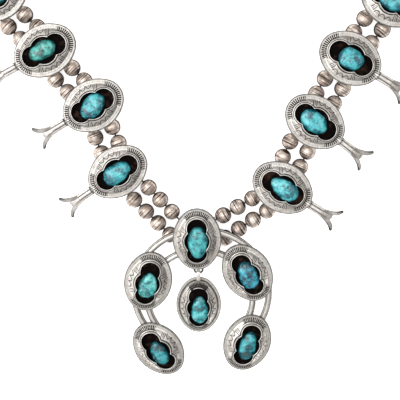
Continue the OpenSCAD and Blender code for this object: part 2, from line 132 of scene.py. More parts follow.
# Nuggets: shares of length and width, shifts, turn, egg, waist, height share
NUGGETS = {
    "stone_left_1": (0.67, 0.86, 0.03, 0.04, 0, 0.16, 0.10, 1.00),
    "stone_left_2": (0.65, 0.80, 0.03, 0.04, 19, -0.06, 0.02, 0.96),
    "stone_left_3": (0.63, 0.72, 0.08, -0.08, 2, -0.10, 0.06, 1.02),
    "stone_left_4": (0.64, 0.82, 0.03, 0.00, -6, 0.08, 0.04, 1.00),
    "stone_right_1": (0.69, 0.78, 0.08, -0.01, -4, 0.18, 0.04, 1.02),
    "stone_right_2": (0.65, 0.87, -0.04, -0.06, -4, -0.06, 0.06, 0.98),
    "stone_right_3": (0.57, 0.90, 0.05, -0.01, 2, -0.10, 0.12, 1.00),
    "stone_right_4": (0.62, 0.84, 0.02, 0.00, 8, 0.06, 0.02, 0.98),
    "naja_stone_top": (0.73, 0.86, -0.12, -0.07, 0, 0.08, 0.02, 1.04),
    "naja_stone_left_upper": (0.63, 0.83, -0.16, -0.06, -2, -0.18, 0.08, 1.00),
    "naja_stone_left_lower": (0.61, 0.72, -0.17, 0.13, -10, -0.12, 0.02, 0.96),
    "naja_stone_right_upper": (0.69, 0.84, -0.09, 0.03, -10, -0.08, 0.04, 1.00),
    "naja_stone_right_lower": (0.72, 0.75, -0.09, -0.12, 5, -0.12, 0.04, 0.98),
    "drop_stone": (0.71, 0.82, -0.21, -0.09, 0, -0.16, 0.08, 0.96),
}
# Body, deep and light colours of the stones, and of those that aren't listed
BLUES = {
    "stone_left_2": ("#309CA8", "#0E5664", "#50BCC4"), "stone_left_3": ("#3AA29A", "#14584F", "#62C4B8"),
    "stone_right_1": ("#42B2BE", "#186674", "#78D8DE"), "drop_stone": ("#42B2BA", "#186670", "#78D8DA"),
    "naja_stone_top": ("#309CA4", "#0E5660", "#50BCC0"),
    "naja_stone_left_upper": ("#4DBDBB", "#1B6E74", "#86DCDA"),
    "naja_stone_left_lower": ("#1E8490", "#06323C", "#3FA9B2"),
    "naja_stone_right_upper": ("#2292AC", "#083F52", "#4FB4C8"),
    "naja_stone_right_lower": ("#2894A0", "#0C4A56", "#4AB8C0"),
}
OTHER_BLUES = ("#38AAB6", "#126070", "#58C8CE")


# Surfaces

def turn_z(p, degrees):
    """Points turned about Z by an angle."""
    c, s = unit(degrees)
    return p @ np.array([[c, s, 0], [-s, c, 0], [0, 0, 1]])


def turn_x(p, degrees):
    """Points turned about X by an angle."""
    c, s = unit(degrees)
    return p @ np.array([[1, 0, 0], [0, c, s], [0, -s, c]])


def even_angles(n):
    """n even angles of a full turn."""
    return np.linspace(0, TAU, n, endpoint=False)


def squared(values, power):
    """Cosines or sines drawn towards a square: their signs times a power of their sizes."""
    return np.sign(values) * np.abs(values) ** power


def turned_rows(x, radius, angles):
    """Rows of points round the X axis at places along it, with a radius for each row or point."""
    along = np.broadcast_to(x[:, None], (len(x), len(angles)))
    return np.stack([along, radius * np.cos(angles), radius * np.sin(angles)], -1)


def at_height(xy, z):
    """Plan points raised to one height, or to a height each."""
    return np.concatenate([xy, np.broadcast_to(z, len(xy))[:, None]], 1)


def smooth_step(x, width):
    """0 below 0, 1 above a width, and 3t^2 - 2t^3 between, where t is x / width."""
    t = np.clip(x / width, 0, 1)
    return t * t * (3 - 2 * t)


def line_mask(distance, width, soft=0.09):
    """1 within half the width of a line, falling to 0 over a soft edge."""
    return smooth_step(width / 2 + soft - np.abs(distance), 2 * soft)


def closed_part(rows, dark, start=None, end=None, slot_rows=None, wrap_rows=False):
    """Closed surface of rows that each wrap round. Poles start and end close it like a sphere, and
    wrap_rows closes it like a ring. dark is a value for each point, and slot_rows the material
    index of each band of faces. Faces are turned outward by the sign of the enclosed volume."""
    m, n, _ = rows.shape
    bands = m if wrap_rows else m - 1
    i = np.repeat(np.arange(bands), n)
    j = np.tile(np.arange(n), bands)
    j2, i2 = (j + 1) % n, (i + 1) % m
    quads = np.stack([i * n + j, i * n + j2, i2 * n + j2, i2 * n + j], 1)
    quad_slot = np.zeros(len(quads), int) if slot_rows is None else np.asarray(slot_rows)[i]
    dark = np.asarray(dark, float).reshape(-1)
    co, tris, tri_slot, pole_dark = [rows.reshape(-1, 3)], [np.zeros((0, 3), int)], [np.zeros(0, int)], []
    k = np.arange(n)
    k2 = (k + 1) % n
    for pole, base, a, b, band in ((start, 0, k2, k, 0), (end, (m - 1) * n, k, k2, -1)):
        if pole is not None:
            tris.append(np.stack([np.full(n, m * n + len(pole_dark)), base + a, base + b], 1))
            tri_slot.append(np.full(n, quad_slot[band]))
            co.append(np.asarray(pole, float)[None])
            pole_dark.append(dark[base:base + n].mean())
    co, tris, tri_slot = np.concatenate(co), np.concatenate(tris), np.concatenate(tri_slot)
    every = np.concatenate([quads[:, [0, 1, 2]], quads[:, [0, 2, 3]], tris])
    a, b, c = (co[every[:, q]] for q in range(3))
    if np.einsum("ij,ij->i", a, np.cross(b, c)).sum() < 0:
        quads, tris = quads[:, ::-1], tris[:, ::-1]
    return {"co": co, "quads": quads, "tris": tris, "quad_slot": quad_slot, "tri_slot": tri_slot,
            "dark": np.concatenate([dark, pole_dark])}


def moved(part, change):
    """The same part with its points changed by a function."""
    return {**part, "co": change(part["co"])}


def placed(part, degrees, x, y, z):
    """The same part turned about Z and then moved."""
    return moved(part, lambda co: turn_z(co, degrees) + [x, y, z])


def new_object(name, data):
    """Object of a mesh, light or camera in the scene."""
    made = bpy.data.objects.new(name, data)
    bpy.context.scene.collection.objects.link(made)
    return made


def make_object(node, parts, *looks):
    """One mesh object from parts in the photograph's plan, moved to the frame, riding on root in
    place of a solid."""
    offsets = np.cumsum([0] + [len(p["co"]) for p in parts])[:-1]
    co, slots, dark = (np.concatenate([p[key] for key in keys for p in parts])
                       for keys in (["co"], ["quad_slot", "tri_slot"], ["dark"]))
    co = (co - MIDDLE) * MM
    quads, tris = (np.concatenate([p[key] + o for p, o in zip(parts, offsets)]) for key in ("quads", "tris"))
    mesh = bpy.data.meshes.new(node + "_detail")
    mesh.vertices.add(len(co))
    mesh.vertices.foreach_set("co", co.ravel())
    mesh.loops.add(4 * len(quads) + 3 * len(tris))
    mesh.loops.foreach_set("vertex_index", np.concatenate([quads.ravel(), tris.ravel()]))
    mesh.polygons.add(len(quads) + len(tris))
    starts = np.concatenate([np.arange(len(quads)) * 4, 4 * len(quads) + np.arange(len(tris)) * 3])
    mesh.polygons.foreach_set("loop_start", starts)
    mesh.polygons.foreach_set("material_index", slots)
    mesh.polygons.foreach_set("use_smooth", np.ones(len(starts), bool))
    mesh.attributes.new("dark", "FLOAT", "POINT").data.foreach_set("value", dark)
    mesh.update(calc_edges=True)
    mesh.validate()
    for look in looks:
        mesh.materials.append(look)
    piece = new_object(mesh.name, mesh)
    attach(piece, "root")
    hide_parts(node)
    return piece


def arc_shift(a, b):
    """How far the end arcs' middles lie from the middle of a four-arc oval."""
    return round(1000 * (a - b) / (2 - np.sqrt(2))) / 1000


def oval(a, b, n):
    """n points evenly along a four-arc oval, and the outward directions there."""
    c = arc_shift(a, b)
    r, big = a - c, b + c
    arcs = np.array([(c, 0, r, 0, 45), (0, -c, big, 45, 135), (-c, 0, r, 135, 225),
                     (0, c, big, 225, 315), (c, 0, r, 315, 360)])
    lengths = arcs[:, 2] * np.radians(arcs[:, 4] - arcs[:, 3])
    ends = np.cumsum(lengths)
    s = (np.arange(n) + 0.5) / n * ends[-1]
    k = np.searchsorted(ends, s)
    start = ends[k] - lengths[k]
    angle = np.radians(arcs[k, 3]) + (s - start) / arcs[k, 2]
    normal = on_circle(angle)
    return arcs[k, :2] + normal * arcs[k, 2:3], normal


def oval_depth(x, y, a, b):
    """Distance of inner points from a four-arc oval."""
    c = arc_shift(a, b)
    x, y = np.abs(x), np.abs(y)
    end = a - c - np.hypot(x - c, y)
    side = b + c - np.hypot(x, y + c)
    return np.where(y < x - c, end, side)


def circles_radius(theta, centres, radii):
    """Farthest distance from the origin, in each direction, to a union of circles round it."""
    u = on_circle(theta)
    best = np.zeros(np.shape(theta))
    for centre, radius in zip(np.asarray(centres, float), radii):
        along = u @ centre
        across = centre @ centre - along ** 2
        reach = radius ** 2 - across
        best = np.maximum(best, np.where(reach >= 0, along + np.sqrt(np.maximum(reach, 0)), 0))
    return best


def dome_height(depth, l, w, rim, h):
    """Height over a concho's back: a soft plain rim, then a dome that flattens to its crown."""
    reach = CROWN_SHARE * (l / 2 - arc_shift(l / 2, w / 2))
    edge, roll = PLATE_T + 0.45, 0.15
    rim_top = edge + roll * smooth_step(depth - 0.35, max(rim - 0.6, 0.3))
    q = np.clip((depth - rim) / (reach - rim), 0, 1)
    return rim_top + (h - edge - roll) * (1 - (1 - q) ** 1.9)


def comb(along, pitch, width, soft):
    """Mask of even lines across a direction."""
    return line_mask((np.mod(along / pitch, 1) - 0.5) * pitch, width, soft)


def stamping(x, y, l, w, wl, ww, rim, tick_pitch):
    """Stamped pattern at places on a concho: fans of radial ticks and an arc at the ends, leaves at
    the cusps, half moons, a border and hatching along the sides, with painted shade along the outer
    edge and rim. Returns how deep it is, how dark, and the distance out from the window."""
    depth = oval_depth(x, y, l / 2, w / 2)
    lobe_x, lobe_r = (wl - LOBE_W) / 2, LOBE_W / 2
    ax, ay = np.abs(x), np.abs(y)
    from_lobe = np.hypot(ax - lobe_x, y)
    fan = np.arctan2(y, ax - lobe_x)
    gap_in = np.minimum(from_lobe - lobe_r, np.hypot(x, y) - ww / 2)
    # Radial ticks
    mean_r = lobe_r + (l - wl) / 2 - rim * 0.75
    off = (np.mod(fan * mean_r / tick_pitch, 1) - 0.5) * tick_pitch * from_lobe / mean_r
    top = max(rim * 0.42, 0.62)
    ticks = line_mask(off, TICK_W) * smooth_step(depth - top, 0.15)
    ticks *= smooth_step(top + TICK_L - depth, 0.15) * (np.abs(fan) < FAN_TICKS * tick_pitch / mean_r)
    # Arc round each end lobe, inside the ticks
    in_fan = smooth_step(1.18 - np.abs(fan), 0.1) * (ax > lobe_x * 0.9)
    arcs = line_mask(from_lobe - lobe_r - 1.35, 0.3, 0.1) * in_fan
    # Leaves that point at the cusps
    cusp_x = (lobe_x ** 2 - lobe_r ** 2 + (ww / 2) ** 2) / (2 * lobe_x)
    cusp_y = np.sqrt((ww / 2) ** 2 - cusp_x ** 2)
    ux, uy = unit(66)
    t = (ax - cusp_x) * ux + (ay - cusp_y) * uy
    side = (ax - cusp_x) * uy - (ay - cusp_y) * ux
    t0, t1 = 0.75, min(3.9, 0.75 + (w - ww) / 2 * 0.62)
    q = (t - t0) / (t1 - t0)
    half = 0.25 + 0.85 * np.sqrt(np.clip(q, 0, 1)) * (1 - 0.25 * q)
    inside = (q > 0) & (q < 1)
    leaf = inside * np.maximum(line_mask(np.abs(side) - half, 0.3, 0.1), line_mask(side, 0.2, 0.1))
    # Half moons with rays
    big = w / 2 + arc_shift(l / 2, w / 2)
    s = np.arctan2(x, ay + arc_shift(l / 2, w / 2)) * big
    moon_at, ray_pitch = rim * 0.95, 0.5
    nearest = np.clip(np.round(s / MOON_PITCH), -1, 1) * MOON_PITCH
    moon_d = np.hypot(s - nearest, depth - moon_at)
    side_zone = (depth > moon_at) & (ay > w / 4)
    turns = np.mod(np.arctan2(depth - moon_at, s - nearest) / ray_pitch, 1) - 0.5
    rays = line_mask(turns * ray_pitch * moon_d, 0.24, 0.1) * (moon_d < 1.2) * (moon_d > 0.45)
    moons = side_zone * np.maximum(line_mask(moon_d - MOON_R, 0.36, 0.1), 0.22 * rays)
    # Border outside the moons and hatching inside them
    border = comb(s, BORDER_PITCH, 0.36, 0.12) * (ay > w / 5) * (ticks == 0)
    border *= smooth_step(depth - top, 0.15) * smooth_step(moon_at - depth, 0.15)
    hatch_zone = (gap_in > 0.95) & (depth > moon_at + 1.75) & (np.abs(s) < 5.6) & (ay > w / 4)
    hatch = comb(s, HATCH_PITCH, 0.4, 0.12) * hatch_zone
    # Crescent over the middle lobe, and the line that sets off the lip of the window
    crescent = line_mask(np.hypot(x, y) - ww / 2 - 0.95, 0.24, 0.1) * (ax < cusp_x - 0.3)
    lip = line_mask(gap_in - 0.66, 0.34, 0.1)
    strokes = np.array([ticks, border, arcs, leaf, moons, hatch, crescent, lip])
    cut_shares = np.array([1, 0.7, 1, 1, 1, 0.8, 1, 1])
    ink_shares = np.array([1, 0.5, 0.95, 0.95, 0.85, 0.2, 0.7, 1])
    cut, darkening = ((strokes * shares[:, None]).max(0) for shares in (cut_shares, ink_shares))
    # Painted shade: darker along the outer edge and over the plain rim
    edge = 0.4 * smooth_step(0.8 - depth, 0.6) + 0.3 * smooth_step(rim - depth, 0.4)
    return STAMP_DEPTH * cut, np.maximum(darkening, edge), gap_in


def concho_part(l, w, wl, ww, rim, h, tick_pitch, around, across):
    """Domed concho with its stamped front, bright window lip, undercut recess and back plate. Rows
    run from the back's middle over the rim and dome, down the window's wall and in over its floor."""
    a, b = l / 2, w / 2
    edge, normal = oval(a, b, around)
    theta = np.arctan2(edge[:, 1], edge[:, 0])
    lobe_x = (wl - LOBE_W) / 2
    hole = circles_radius(theta, [(0, 0), (lobe_x, 0), (-lobe_x, 0)], [ww / 2, LOBE_W / 2, LOBE_W / 2])
    window = on_circle(theta) * hole[:, None]
    rows, dark, slots = [], [], []

    def add(xy, z, shade, slot=0):
        rows.append(at_height(xy, z))
        dark.append(np.broadcast_to(shade, (around,)))
        slots.append(slot)

    # Back, side wall and outer edge of the rim, darker than the dome with painted shade
    for inset, z, shade in ((2.5, 0, 0.35), (0.1, 0, 0.5), (0, 0.1, 0.6), (0, PLATE_T * 0.55, 0.55),
                            (0, PLATE_T, 0.75), (0.06, PLATE_T + 0.2, 0.6), (0.18, PLATE_T + 0.36, 0.5)):
        add(edge - normal * inset, z, shade)
    shoulder, closer_rows = edge - normal * 0.35, 0.035
    for t in np.linspace(0, 1, across):
        xy = shoulder + (window - shoulder) * (t - closer_rows * np.sin(TAU * t))
        z = dome_height(oval_depth(xy[:, 0], xy[:, 1], a, b), l, w, rim, h)
        cut, shade, gap_in = stamping(xy[:, 0], xy[:, 1], l, w, wl, ww, rim, tick_pitch)
        lip = LIP_H * smooth_step(0.46 - gap_in, 0.16) * smooth_step(gap_in + 0.02, 0.14)
        add(xy, z - cut + lip, shade)
    sill = rows[-1][:, 2]
    for down, shade, slot in ((0.12, 0.15, 0), (SHEET_T * 0.6, 0.7, 1), (SHEET_T, 1.0, 1)):
        add(window, sill - down, shade, slot)
    hollow, hollow_z = edge - normal * (rim + 1.75), 1.7
    add(hollow, hollow_z, 1.0, 1)
    floor = edge - normal * (rim + 1.05)
    add(floor, PLATE_T + 0.02, 1.0, 1)
    for t in (0.12, 0.3, 0.5, 0.7, 0.88):
        add(floor * (1 - t), PLATE_T, 1.0, 1)
    return closed_part(np.array(rows), np.array(dark), (0, 0, 0), (0, 0, PLATE_T), slots)


def swept_part(path, side, up, section, dark, caps=True):
    """Section points (s, u) carried along a path by its side and up directions. The directions and
    the section are one for the whole path, or one for each of its points."""
    side, up = np.broadcast_to(side, path.shape), np.broadcast_to(up, path.shape)
    section = np.broadcast_to(section, (len(path),) + np.shape(section)[-2:])
    rows = path[:, None] + side[:, None] * section[..., :1] + up[:, None] * section[..., 1:]
    if caps:
        return closed_part(rows, dark, rows[0].mean(0), rows[-1].mean(0))
    return closed_part(rows, dark, wrap_rows=True)


def half_round(width, height, n):
    """D-shaped wire section with two shallow lengthwise grooves, and its darkness."""
    r = width / 2
    angle = np.linspace(np.radians(-10), np.radians(190), n)
    groove = line_mask(np.degrees(angle) - 52, 12, 7) + line_mask(np.degrees(angle) - 128, 12, 7)
    rr = r - GROOVE_DEPTH * groove
    top = np.stack([np.cos(angle) * rr, height - r + np.sin(angle) * rr], 1)
    top[:, 1] = np.maximum(top[:, 1], 0.03)
    flat = np.stack([np.linspace(-r * 0.85, r * 0.85, 5), np.zeros(5)], 1)
    # Painted shade in the grooves and on the wire's lower sides, over a base darkness
    low = smooth_step(1.3 - top[:, 1], 0.6)
    shade = np.concatenate([np.maximum(np.maximum(0.85 * groove, low), 0.22), np.ones(5)])
    return np.concatenate([top, flat]), shade


def wire_part(at, r):
    """Half-round crescent wire on its arc."""
    out = at_height(unit(WIRE_START + np.linspace(0, WIRE_SWEEP, 170)), 0)
    path = out * r + [at[0] - NAJA_X, at[1] - NAJA_Y, 0]
    section, shade = half_round(WIRE_W, WIRE_H, 21)
    return swept_part(path, out, UP, section, np.tile(shade, (len(path), 1)))


def ring_part(r, wire):
    """Round wire ring about Z."""
    around, n = 64, 16
    out = at_height(on_circle(even_angles(around)), 0)
    section = on_circle(even_angles(n)) * wire / 2
    return swept_part(out * r, out, UP, section, np.full((around, n), 0.7), caps=False)


def box_part(low, high):
    """Block with softened edges, as four rows of a superellipse."""
    soft, n = 0.12, 32
    low, high = np.asarray(low, float), np.asarray(high, float)
    mid, half = (low + high) / 2, (high - low) / 2
    xy = squared(on_circle(even_angles(n)), 0.22)
    levels = [(-1, soft), (-1 + soft / half[2], 0), (1 - soft / half[2], 0), (1, soft)]
    rows = [at_height(mid[:2] + xy * (half[:2] - inset), mid[2] + half[2] * z) for z, inset in levels]
    ends = [(mid[0], mid[1], z) for z in (low[2], high[2])]
    return closed_part(np.array(rows), np.full((4, n), 0.4), *ends)


def tube_part(outer, inner, length):
    """Short tube along X with rounded lips."""
    r0, r1, h, n = inner / 2, outer / 2, length / 2, 32
    lip = [(h - 0.2, r1), (h - 0.06, r1 - 0.06), (h, r1 - 0.2), (h, r0 + 0.1), (h - 0.05, r0)]
    profile = np.array([(-x, r) for x, r in reversed(lip)] + lip)
    rows = turned_rows(profile[:, 0], profile[:, 1:], even_angles(n))
    return closed_part(rows, np.full(rows.shape[:2], 0.45), wrap_rows=True)


def eye_parts(x, y, turn, top):
    """Strand eye and its post up to the back plate."""
    post = box_part((-EYE_L / 2, -EYE_D / 4, EYE_D / 2 - 0.35), (EYE_L / 2, EYE_D / 4, top - STRAND_Z))
    return [placed(p, turn, x, y, STRAND_Z) for p in (tube_part(EYE_D, BEAD_BORE, EYE_L), post)]


def stem_part(root):
    """Fluted stem along X: a bar and six round ribs in one outline, carried from under the rim to
    the petals, with a thinner root that the rim hides."""
    bar, rib, n = STEM_W * 0.34, STEM_W * 0.19, 72
    ribs = unit(30 + 60 * np.arange(6)) * (STEM_W / 2 - rib)
    t = even_angles(n)
    radius = circles_radius(t, [(0, 0), *ribs], [bar] + [rib] * 6)
    valley = smooth_step(STEM_W / 2 * 0.93 - radius, STEM_W / 2 * 0.16)
    visible = np.linspace(2.5, STEM_L + 2.3, 11)
    x = np.concatenate([[0, 0.1, 1.6, 2.1], visible, [STEM_L + 2.8, STEM_L + 3.0]])
    scale = np.interp(x, [0, 1.6, 2.1, STEM_L * 0.5, STEM_L + 2, STEM_L + 2.8, STEM_L + 3.0],
                      [0.62, 0.62, 1, 0.98, 1, 0.96, 0.8]) * STEM_DRESSED
    rows = turned_rows(x + root, scale[:, None] * radius, t)
    # Painted shade in the valleys between the ribs, on the stem's sides and where it meets the rim
    near_rim = line_mask(x - 2.2, 0.5, 0.25)[:, None]
    side = 0.55 * smooth_step(np.abs(np.cos(t)) - 0.8, 0.15)
    dark = np.maximum(np.maximum(0.14 + 0.7 * valley, side)[None], 0.75 * near_rim * np.ones(n))
    return closed_part(rows, dark, rows[0].mean(0), rows[-1].mean(0))


def petal_part(flare, shade):
    """Petal: a dished strip carried along an arc that leaves the stem's axis towards +Y, with a
    thicker, rounded tip. Its width stands upright, and its inner face, towards the axis, is hollow.
    shade is the darkness of its outer face, edges and inner face."""
    reach = PETAL_BEND_R * np.sin(np.radians(flare))
    end = np.degrees(np.arcsin((reach - 0.58) / PETAL_BEND_R))
    tip_at, tip_share = 0.86, 0.14
    near_tip = 1 - tip_share * np.cos(np.linspace(0.15, np.pi / 2, 9)) ** 1.5
    q = np.concatenate([np.linspace(0, tip_at, 22), near_tip])
    a = np.radians(q * end)
    start = STEM_W * 0.3
    path = np.stack([-1 + PETAL_BEND_R * np.sin(a), start + PETAL_BEND_R * (1 - np.cos(a)), 0 * a], 1)
    out = np.stack([-np.sin(a), np.cos(a), 0 * a], 1)
    body = np.interp(q, [0, 0.45, 0.8, 1], [0.42, 0.5, 0.46, 0.42]) * PETAL_W
    tip = np.sqrt(np.clip(1 - ((q - tip_at) / 0.142).clip(0, 1) ** 2, 0.002, 1))[:, None]
    c, s = on_circle(even_angles(28)).T
    spoon = np.interp(q, [0, 0.6, 0.85, 1], [1, 1, 1.5, 1.6])[:, None]
    thick = PETAL_T / 2 * squared(c, 0.6) * spoon
    wide = squared(s, 0.8)
    dish = PETAL_DISH * (1 - wide ** 2) * (c > 0)
    section = np.stack([thick * (0.55 + 0.45 * tip) - dish * tip, wide * (body[:, None] * tip)], -1)
    # Painted shade on each face, growing darker towards the tip
    along = np.interp(q, [0, 0.4, 0.75, 1], [0.5, 0.75, 1.2, 1.4])[:, None]
    dark = along * np.select([c > 0.3, c > -0.25], shade[:2], shade[2])
    return swept_part(path, out, UP, section, dark)


def blossom_parts(spot):
    """Whole blossom: concho, stem, three petals and four eyes."""
    strand_x, strand_y, strand_turn, x, y, turn = spot
    root = BLOSSOM_L / 2 - 2
    shift = np.array([root + STEM_L + 2.6, 0, 0])
    side_shade, middle_shade = (0.62, 0.55, 0.45), (0.1, 0.2, 0.15)
    growth = [stem_part(root)]
    for roll, share, shade in ((-PETAL_ROLL, 1, side_shade), (180 + PETAL_ROLL, 1, side_shade),
                               (-90, 0.62, middle_shade)):
        growth.append(moved(petal_part(PETAL_FLARE * share, shade), lambda co: turn_x(co, roll) + shift))
    parts = [concho_part(BLOSSOM_L, BLOSSOM_W, WINDOW_L, WINDOW_W, RIM_W, DOME_H,
                         tick_pitch=0.96, around=380, across=30)]
    parts += [moved(p, lambda co: co + [0, 0, SOLDER]) for p in growth]
    parts = [placed(p, turn, x, y, BACK_Z) for p in parts]
    for off in (-1, 1):
        for along in (-1, 1):
            at = (np.array([strand_x, strand_y]) + unit(strand_turn) * along * (EYE_SPAN - EYE_L) / 2
                  + right_of(strand_turn) * off * STRAND_GAP / 2)
            parts += eye_parts(at[0], at[1], strand_turn, BACK_Z + SOLDER)
    return parts


# The naja's frame and the drop's, solved as in the part's source

def spot_reach(y, turn):
    """How far a concho of the naja reaches towards -Y from the naja's origin."""
    c, s = unit(turn)
    return NAJA_Y - y + np.hypot(NAJA_L / 2 * s, NAJA_W / 2 * c)


NAJA_REACH = max(spot_reach(y, turn) for _, y, turn in NAJA_SPOTS.values())
NAJA_TILT = np.degrees(np.arcsin((NAJA_Z - REST_GAP) / np.hypot(NAJA_REACH, CONCHO_Z))
                       + np.arctan2(CONCHO_Z, NAJA_REACH))
LOOP_Y = -NAJA_L / 2 - 0.1
LOOP_Z = CONCHO_Z + SOLDER - LOOP_WIRE / 2
LOOP_R = (LOOP_D - LOOP_WIRE) / 2
NAJA_LEAN = np.radians(NAJA_TILT)
GRIP_Y = NAJA_Y + (LOOP_Y - LOOP_R) * np.cos(NAJA_LEAN) - LOOP_Z * np.sin(NAJA_LEAN)
GRIP_Z = NAJA_Z + (LOOP_Y - LOOP_R) * np.sin(NAJA_LEAN) + LOOP_Z * np.cos(NAJA_LEAN)
GRIP_UP = DROP_L / 2 + BAIL_REACH + LOOP_WIRE / 2
LOOP_RISE = LOOP_R - np.sqrt(LOOP_R ** 2 - (BAIL_W / 2) ** 2)
BAIL_TOP = GRIP_UP + LOOP_WIRE / 2 + LOOP_RISE + BAIL_CLEAR + BAIL_T
BAIL_H = LOOP_WIRE + 2 * (LOOP_RISE + BAIL_CLEAR + BAIL_T) + 0.4
BAIL_Z = PLATE_T + LOOP_WIRE / 2
DROP_REACH = GRIP_UP + DROP_L / 2
DROP_TILT = np.degrees(np.arcsin((GRIP_Z - REST_GAP) / np.hypot(DROP_REACH, BAIL_Z))
                       - np.arctan2(BAIL_Z, DROP_REACH))


def in_naja(co):
    """From the naja's own frame to the plan."""
    return turn_x(co, NAJA_TILT) + [NAJA_X, NAJA_Y, NAJA_Z]


def in_drop(co):
    """From the drop's own frame to the plan."""
    return turn_x(co - [0, GRIP_UP, BAIL_Z], DROP_TILT) + [NAJA_X + LOOP_X, GRIP_Y, GRIP_Z]


def naja_parts():
    """Crescent wires, five conchos, the loop and the four eyes behind the top concho."""
    parts = [wire_part(OUTER_WIRE_AT, OUTER_WIRE_R), wire_part(INNER_WIRE_AT, INNER_WIRE_R)]
    concho = concho_part(NAJA_L, NAJA_W, NAJA_WINDOW_L, NAJA_WINDOW_W, RIM_W, NAJA_DOME_H,
                         tick_pitch=0.92, around=360, across=29)
    parts += [placed(concho, turn, x - NAJA_X, y - NAJA_Y, CONCHO_Z) for x, y, turn in NAJA_SPOTS.values()]
    parts.append(moved(ring_part(LOOP_R, LOOP_WIRE), lambda co: co + [LOOP_X, LOOP_Y, LOOP_Z]))
    parts = [moved(p, in_naja) for p in parts]
    for side in (-1, 1):
        for off in (-1, 1):
            y = NAJA_STRANDS_Y + off * NAJA_STRAND_GAP / 2
            top = NAJA_Z + CONCHO_Z + (y - NAJA_Y) * np.tan(NAJA_LEAN) + SOLDER
            parts += eye_parts(NAJA_X + side * (NAJA_EYE_SPAN - EYE_L) / 2, y, 0, top)
    return parts


def flange_part():
    """The drop's wide flat rim, round its dome."""
    around = 300
    edge, normal = oval(DROP_L / 2, DROP_W / 2, around)
    reach = FLANGE_W + DROP_RIM + 0.5
    # Darkness of each row: painted shade on the side wall and in the groove where the flange meets the dome
    profile = [(reach, 0, 0.4), (0.06, 0, 0.5), (0, 0.08, 0.6), (0, PLATE_T - 0.2, 0.6),
               (0.08, PLATE_T - 0.05, 0.5), (0.24, PLATE_T, 0.4), (0.7, PLATE_T + 0.04, 0.3),
               (FLANGE_W - 0.35, PLATE_T, 0.36), (FLANGE_W - 0.1, PLATE_T - 0.12, 0.95),
               (FLANGE_W + 0.2, PLATE_T - 0.12, 1), (reach, PLATE_T - 0.1, 1)]
    rows = np.array([at_height(edge - normal * inset, z) for inset, z, _ in profile])
    dark = np.array([np.full(around, shade) for _, _, shade in profile])
    return closed_part(rows, dark, wrap_rows=True)


def bail_part():
    """Flat strip bent round the loop and down onto the drop's rim."""
    arc = (BAIL_H / 2 - BAIL_T / 2) * unit(np.linspace(-90, 90, 16))
    line = np.concatenate([arc + [BAIL_L - BAIL_H / 2, 0], [BAIL_H / 2, 0] - arc])
    step = np.roll(line, -1, 0) - np.roll(line, 1, 0)
    step /= np.linalg.norm(step, axis=1)[:, None]
    flat = np.zeros(len(line))
    path = np.stack([flat, BAIL_TOP - BAIL_L + line[:, 0], BAIL_Z + line[:, 1]], 1)
    up = np.stack([flat, step[:, 1], -step[:, 0]], 1)
    c, s = on_circle(even_angles(20)).T
    section = np.stack([BAIL_W / 2 * squared(c, 0.25), BAIL_T / 2 * squared(s, 0.45)], 1)
    return swept_part(path, (1.0, 0.0, 0.0), up, section, np.full((len(line), 20), 0.15), caps=False)


def drop_parts():
    """Flange, concho and bail of the drop."""
    concho = concho_part(DROP_L - 2 * FLANGE_W, DROP_W - 2 * FLANGE_W, DROP_WINDOW_L, DROP_WINDOW_W,
                         DROP_RIM, NAJA_DOME_H, tick_pitch=0.8, around=420, across=30)
    parts = [moved(p, lambda co: turn_z(co, 90)) for p in (flange_part(), concho)]
    return [moved(p, in_drop) for p in parts + [bail_part()]]


def nugget_part(name, wl, ww):
    """Tumbled nugget: an egg-shaped outline drawn in by a superellipse as it rises, with soft lumps
    from a seeded sum of waves."""
    length, width, shift_x, shift_y, turn, egg, waist, height = NUGGETS[name]
    rng = np.random.default_rng(sum(map(ord, name)))
    a, b, h = length * wl / 2, width * ww / 2, STONE_H * height
    t = even_angles(72)
    z = np.sin(np.linspace(0.0, np.pi / 2, 34, endpoint=False))
    power = 2.3
    top = np.stack([(1 - z ** power) ** (1 / power), 0.16 + 0.84 * z], 1)
    levels = np.concatenate([[(0.55, 0), (0.84, 0.0), (0.93, 0.03), (0.975, 0.09)], top])
    x = levels[:, :1] * a * np.cos(t)
    y = levels[:, :1] * b * np.sin(t) * (1 + egg * np.cos(t)) * (1 - waist * np.sin(t) ** 4)
    co = np.stack([x, y, np.broadcast_to(levels[:, 1:] * h, x.shape)], -1)
    lump = np.zeros(x.shape)
    for size, amount in ((5.5, 0.18), (3.0, 0.12), (1.5, 0.07)):
        for _ in range(5):
            k = rng.normal(size=3)
            k *= TAU / size / np.linalg.norm(k)
            lump += amount / 2.2 * np.sin(co @ k + rng.uniform(0, TAU))
    away = co - [0, 0, h * 0.45]
    away /= np.linalg.norm(away, axis=-1, keepdims=True)
    lump -= 0.16 + 0.12 * smooth_step(np.abs(lump) - 0.16, 0.1)
    co = co + away * (lump * smooth_step(levels[:, 1:] - 0.02, 0.2))[..., None]
    # Painted shade: darker towards the nugget's foot
    foot_shade = np.broadcast_to(smooth_step(0.78 - levels[:, 1:], 0.6), x.shape)
    part = closed_part(co, foot_shade, (0, 0, 0), (0, 0, co[-1, :, 2].mean() + 0.01))
    return placed(part, turn, shift_x * wl / 2, shift_y * ww / 2, PLATE_T + STONE_CLEAR)


def stone_part(name):
    """Nugget in its window, on a blossom, the drop or the naja."""
    if name.startswith("stone"):
        _, side, number = name.split("_")
        x, y, turn = SPOTS[side][int(number) - 1][3:]
        return placed(nugget_part(name, WINDOW_L, WINDOW_W), turn, x, y, BACK_Z)
    if name == "drop_stone":
        part = nugget_part(name, DROP_WINDOW_L, DROP_WINDOW_W)
        return moved(part, lambda co: in_drop(turn_z(co, 90)))
    x, y, turn = NAJA_SPOTS[name.removeprefix("naja_stone_")]
    part = nugget_part(name, NAJA_WINDOW_L, NAJA_WINDOW_W)
    return moved(placed(part, turn, x - NAJA_X, y - NAJA_Y, CONCHO_Z), in_naja)


